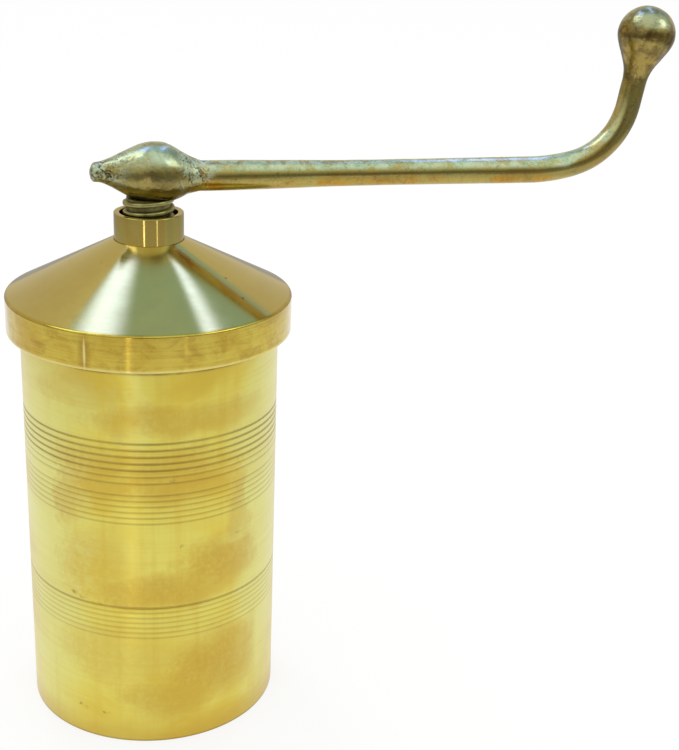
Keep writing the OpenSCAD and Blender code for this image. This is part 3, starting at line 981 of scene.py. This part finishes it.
def roughen(piece, name, size, height, weight):
    # pushes the surface in and out by a cloud pattern, as much as weight(place) says
    texture = bpy.data.textures.new(name, "CLOUDS")
    texture.noise_scale = size * mm
    texture.noise_depth = 3
    group = piece.vertex_groups.new(name=name)
    for vertex in piece.data.vertices:
        group.add([vertex.index], weight(vertex.co / mm), "REPLACE")
    applyModifier(piece, "DISPLACE", texture=texture, texture_coords="LOCAL", strength=height * mm,
                  mid_level=0.5, vertex_group=name)
    piece.vertex_groups.clear()


def smoothRamp(value, low, high):
    t = min(1, max(0, (value - low) / (high - low)))
    return t * t * (3 - 2 * t)


def makeHub(shape):
    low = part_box("crank_hub")[0].z / mm
    center = Vector((0, 0, low + shape.rise))
    piece = latheAlong("crankHub", hubOutline(shape), shape.steps, center, -shape.tilt)
    length = shape.noseLength + shape.reach
    for vertex in piece.data.vertices:
        t = min(1, max(0, (vertex.co.x / mm + shape.noseLength) / length))
        vertex.co.z += shape.arch * mm * math.sin(math.pi * t)

    def castWeight(place):
        noseShare, noseStart, noseFull = shape.castNose
        neckShare, neckStart, neckFull = shape.castNeck
        weight = shape.castRest + noseShare * smoothRamp(-place.x, noseStart, noseFull)
        return weight + neckShare * smoothRamp(place.x, neckStart, neckFull)

    roughen(piece, "hubCast", *shape.cast, castWeight)
    roughen(piece, "hubWave", *shape.wave, lambda place: 1 - smoothRamp(place.x, *shape.waveEnd))
    cutBelow(piece, low)
    dress(piece, shape, "crank_hub", "crank", crankBrass)


makeHub(hubShape)

armShape = SimpleNamespace(
    rootRadius=3.97, middleRadius=3.42, bendRadius=3.58, stemRadius=3.25,
    taper=45,
    straight=89.5,
    slope=0.3,  # degrees
    sweep=(50, 14.5),  # radius and angle of the gentle start of the bend
    bend=(20, 66.1),
    stem=5.6,
    stemHaste=1.3,  # the arm has its last thickness before its end by this
    ringGap=1.5,
    sides=64,
    smoothAngle=60,
    forged=(9, 0.16),  # grain and height of its unevenness
    forgedRest=0.2,  # share of that height beside the hub
    forgedFull=(16, 30),  # x where it grows to all of it
)


def armRoute(shape, start):
    # stations along the arm: (x, z), direction in degrees and length so far
    stations = [(Vector((start[0], start[1])), shape.slope, 0)]

    def walk(length, radius=None):
        count = math.ceil(length / shape.ringGap)
        for _ in range(count):
            place, angle, done = stations[-1]
            step = length / count
            turn = math.degrees(step / radius) if radius else 0
            middle = math.radians(angle + turn / 2)
            chord = 2 * radius * math.sin(math.radians(turn) / 2) if radius else step
            place = place + chord * Vector((math.cos(middle), math.sin(middle)))
            stations.append((place, angle + turn, done + step))

    walk(shape.straight)
    for radius, angle in (shape.sweep, shape.bend):
        walk(math.radians(angle) * radius, radius)
    walk(shape.stem)
    return stations


def armThickness(shape, done, total):
    taper, straight = shape.taper, shape.straight
    if done < taper:
        old, new, t = shape.rootRadius, shape.middleRadius, done / taper
    elif done < straight:
        old, new, t = shape.middleRadius, shape.bendRadius, (done - taper) / (straight - taper)
    else:
        old, new = shape.bendRadius, shape.stemRadius
        t = min(1, (done - straight) / (total - straight) * shape.stemHaste)
    return old + (new - old) * swell(t)


def makeArm(shape, hub):
    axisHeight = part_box("crank_hub")[0].z / mm + hub.rise
    start = (hub.reach, axisHeight - hub.reach * math.tan(math.radians(hub.tilt)))
    stations = armRoute(shape, start)
    total = stations[-1][2]
    deselectAll()
    place, angle, _ = stations[0]
    bpy.ops.mesh.primitive_circle_add(vertices=shape.sides, radius=shape.rootRadius * mm,
                                      fill_type="NGON", location=(place.x * mm, 0, place.y * mm),
                                      rotation=(0, math.radians(90 - angle), 0))
    piece = bpy.context.object
    piece.name = piece.data.name = "crankArm"
    bpy.ops.object.transform_apply(location=True, rotation=True)
    editAll()
    thick = shape.rootRadius
    for (here, oldAngle, _), (there, newAngle, done) in zip(stations, stations[1:]):
        step = there - here
        center = (there.x * mm, 0, there.y * mm)
        bpy.ops.mesh.extrude_region_move(TRANSFORM_OT_translate={"value": (step.x * mm, 0, step.y * mm)})
        if newAngle != oldAngle:
            bpy.ops.transform.rotate(value=math.radians(newAngle - oldAngle), orient_axis="Y",
                                     center_override=center)
        newThick = armThickness(shape, done, total)
        share = newThick / thick
        bpy.ops.transform.resize(value=(share, share, share), center_override=center)
        thick = newThick
    faceOutward()
    rest = shape.forgedRest
    roughen(piece, "armForged", *shape.forged,
            lambda place: rest + (1 - rest) * smoothRamp(place.x, *shape.forgedFull))
    dress(piece, shape, "crank_arm", "crank", crankBrass)
    return stations[-1]


armEnd = makeArm(armShape, hubShape)

knobShape = SimpleNamespace(
    radius=7.7,
    rise=13.4,  # from the arm's end to the widest place
    crown=7.5,
    swell=1.2,
    stemRadius=3.25,
    profileSteps=28, crownSteps=12, steps=128, smoothAngle=60,
    cast=(5, 0.22),  # grain and height of its unevenness
    castShare=0.9,
)


def makeKnob(shape, end):
    place, angle, _ = end
    outline = [(0, 0)]
    for i in range(shape.profileSteps + 1):
        t = i / shape.profileSteps
        r = shape.stemRadius + (shape.radius - shape.stemRadius) * swell(t, shape.swell)
        outline.append((r, shape.rise * t))
    for i in range(1, shape.crownSteps + 1):
        b = math.radians(90 * i / shape.crownSteps)
        outline.append((shape.radius * math.cos(b), shape.rise + shape.crown * math.sin(b)))
    piece = latheAlong("crankKnob", outline, shape.steps, Vector((place.x, 0, place.y)), angle)
    roughen(piece, "knobCast", *shape.cast, lambda place: shape.castShare)
    dress(piece, shape, "crank_knob", "crank", crankBrass)


makeKnob(knobShape, armEnd)


# Pieces that stay as the frame has them

for name in ("die_plate", "presser_disc", "thrust_washer", "retaining_washer", "retaining_screw"):
    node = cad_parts[name]
    node.data.materials.clear()
    node.data.materials.append(plainBrass)
print("inner pieces finished")


# Floor, world and lamps. Lengths are in m, and what the metal shows of the room is given by directions.

studio = SimpleNamespace(
    floorSize=30,
    floorColor=(0.95, 0.95, 0.94, 1),
    floorGlow=0.8,  # share of plain white on the floor, as the camera sees it
    floorMirror=0.75,  # the same in the metal
    floorFar=(0.36, 0.54),  # from the middle, where the floor's image in the metal darkens
    floorShade=0.2,
    white=(1, 1, 1, 1),
    ceiling=(0.35, 0.53, 0.72, 1),
    ceilingTilt=(0.34, 0.28),  # higher to the left, and lower to the front
    ceilingEdge=(0.53, 0.61),
    frontEdge=(0.4, 0.9),  # softer on the camera's side
    frontTurn=(0.1, -0.2),
    skylight=(0.95, 1.05, 0.98, 1),
    skyTurn=(0.33, -0.05),
    softbox=(1.7, 2.25, 6.0, 1),  # cool, and so white in the brass
    boxes=[(-0.32, -0.25, -0.19, -0.06), (0.26, 0.305, 0.32, 0.38)],  # sideways reach, with soft sides
    boxTurn=(0.2, 0.35),
    pane=(2.6, 2.8, 2.8, 1),
    panes=[(-0.514, 0.183, 0.843), (0.69, -0.388, 0.612)],  # small high windows
    paneEdge=(0.965, 0.985),
    window=(1.05, 1.1, 1.05, 1),
    windowWay=(-0.62, -0.48, 0.62),
    windowEdge=(0.72, 0.95, 0, 0.9),
    backWall=(0.67, 0.61, 0.48, 1),
    darkRoom=(0.26, 0.24, 0.2, 1),
    wallTurn=(0.3, -0.4),
)

# they only light the floor, since the metal shows the room
lamps = {
    "leftLamp": {"place": (-0.13, 0.41, 1.12), "size": (0.17, 0.5), "power": 1.8},
    "rightLamp": {"place": (0.36, 0.45, 1.0), "size": (0.14, 0.4), "power": 0.45},
}

# strips that lie on the floor and run out from the barrel, for the upright lines on the turned parts
strips = {
    "collarLeft": {"azimuth": -111, "start": 0.5, "end": 0.64, "width": 0.035, "power": 0.15},
    "collarRight": {"azimuth": -69, "start": 0.5, "end": 0.64, "width": 0.022, "power": 0.06},
    "barrelLine": {"azimuth": -112, "start": 0.08, "end": 0.37, "width": 0.012, "power": 0.0055},
}


def rayKinds(wire):
    # 1 for what the camera sees, and 1 for what the metal shows
    seen = wire.node("ShaderNodeLightPath", out="Is Camera Ray")
    outputs = seen.socket.node.outputs
    glossy = Wire(wire.tree, outputs["Is Glossy Ray"])
    through = Wire(wire.tree, outputs["Is Transmission Ray"])
    return seen, (glossy + through).least(1.0)


def makeFloor(studio):
    deselectAll()
    bpy.ops.mesh.primitive_plane_add(size=studio.floorSize, location=(0, 0, 0))
    floor = bpy.context.object
    floor.name = "floor"
    material, place = startMaterial("paleFloor")
    x, y, _ = axes(place)
    seen, mirrored = rayKinds(place)
    shade = fade(fromAxis(x, y), *studio.floorFar, 1, studio.floorShade)
    strength = 1 - mirrored * (1 - shade)
    matte = place.node("ShaderNodeBsdfDiffuse", {}, {"Color": studio.floorColor})
    glow = place.node("ShaderNodeEmission", {}, {"Color": studio.white, "Strength": strength})
    share = (seen * studio.floorGlow + mirrored * studio.floorMirror).least(1.0)
    mixed = place.node("ShaderNodeMixShader", {}, {0: share, 1: matte, 2: glow})
    place.node("ShaderNodeOutputMaterial", {}, {"Surface": mixed})
    material.cycles.emission_sampling = "NONE"
    floor.data.materials.append(material)


def makeWorld(studio):
    world = bpy.data.worlds.new("studioRoom")
    bpy.context.scene.world = world
    world.use_nodes = True
    world.cycles.sampling_method = "NONE"  # the room shows in the metal only, so it is met by rays alone
    world.node_tree.nodes.clear()
    wire = Wire(world.node_tree)
    x, y, z = axes(wire.node("ShaderNodeTexCoord", out="Generated"))
    mirrored = rayKinds(wire)[1]

    def toward(way):
        return x * way[0] + y * way[1] + z * way[2]

    def softSides(box):
        return fade(x, *box[:2]) * fade(x, *box[2:], 1, 0)

    tiltX, tiltY = studio.ceilingTilt
    rise = z - tiltY * y + tiltX * x
    front = fade(y, *studio.frontTurn)
    ceiling = fade(rise, *studio.ceilingEdge) * (1 - front) + fade(rise, *studio.frontEdge) * front
    walls = mixColor(fade(y, *studio.wallTurn), studio.backWall, studio.darkRoom)
    overhead = mixColor(fade(y, *studio.skyTurn), studio.ceiling, studio.skylight)
    left, right = [softSides(box) for box in studio.boxes]
    overhead = mixColor((left + right) * fade(y, *studio.boxTurn), overhead, studio.softbox)
    color = mixColor(ceiling, walls, overhead)
    color = mixColor(fade(toward(studio.windowWay), *studio.windowEdge), color, studio.window)
    for way in studio.panes:
        color = mixColor(fade(toward(way), *studio.paneEdge), color, studio.pane)
    color = mixColor(mirrored, studio.white, color)
    glow = wire.node("ShaderNodeBackground", {}, {"Color": color, "Strength": 1.0})
    wire.node("ShaderNodeOutputWorld", {}, {"Surface": glow})


def makeLamp(name, place, rotation, size, power, shows):
    data = bpy.data.lights.new(name, "AREA")
    data.shape = "RECTANGLE"
    data.size, data.size_y = size
    data.energy = power
    lamp = bpy.data.objects.new(name, data)
    bpy.context.scene.collection.objects.link(lamp)
    lamp.location = place
    lamp.rotation_euler = rotation
    lamp.visible_camera = False
    lamp.visible_glossy = shows


def hangLamps(lamps, aim=(0, 0, 0.12)):
    for name, lamp in lamps.items():
        rotation = (Vector(aim) - Vector(lamp["place"])).to_track_quat("-Z", "Y").to_euler()
        makeLamp(name, lamp["place"], rotation, lamp["size"], lamp["power"], False)


def layStrips(strips, height=0.003):
    for name, strip in strips.items():
        a = math.radians(strip["azimuth"])
        middle = (strip["start"] + strip["end"]) / 2
        place = (middle * math.cos(a), middle * math.sin(a), height)
        size = (strip["width"], strip["end"] - strip["start"])
        makeLamp(name, place, (math.pi, 0, a - math.pi / 2), size, strip["power"], True)


makeFloor(studio)
makeWorld(studio)
hangLamps(lamps)
layStrips(strips)
bpy.context.scene.view_settings.view_transform = "Standard"
print("studio lit")
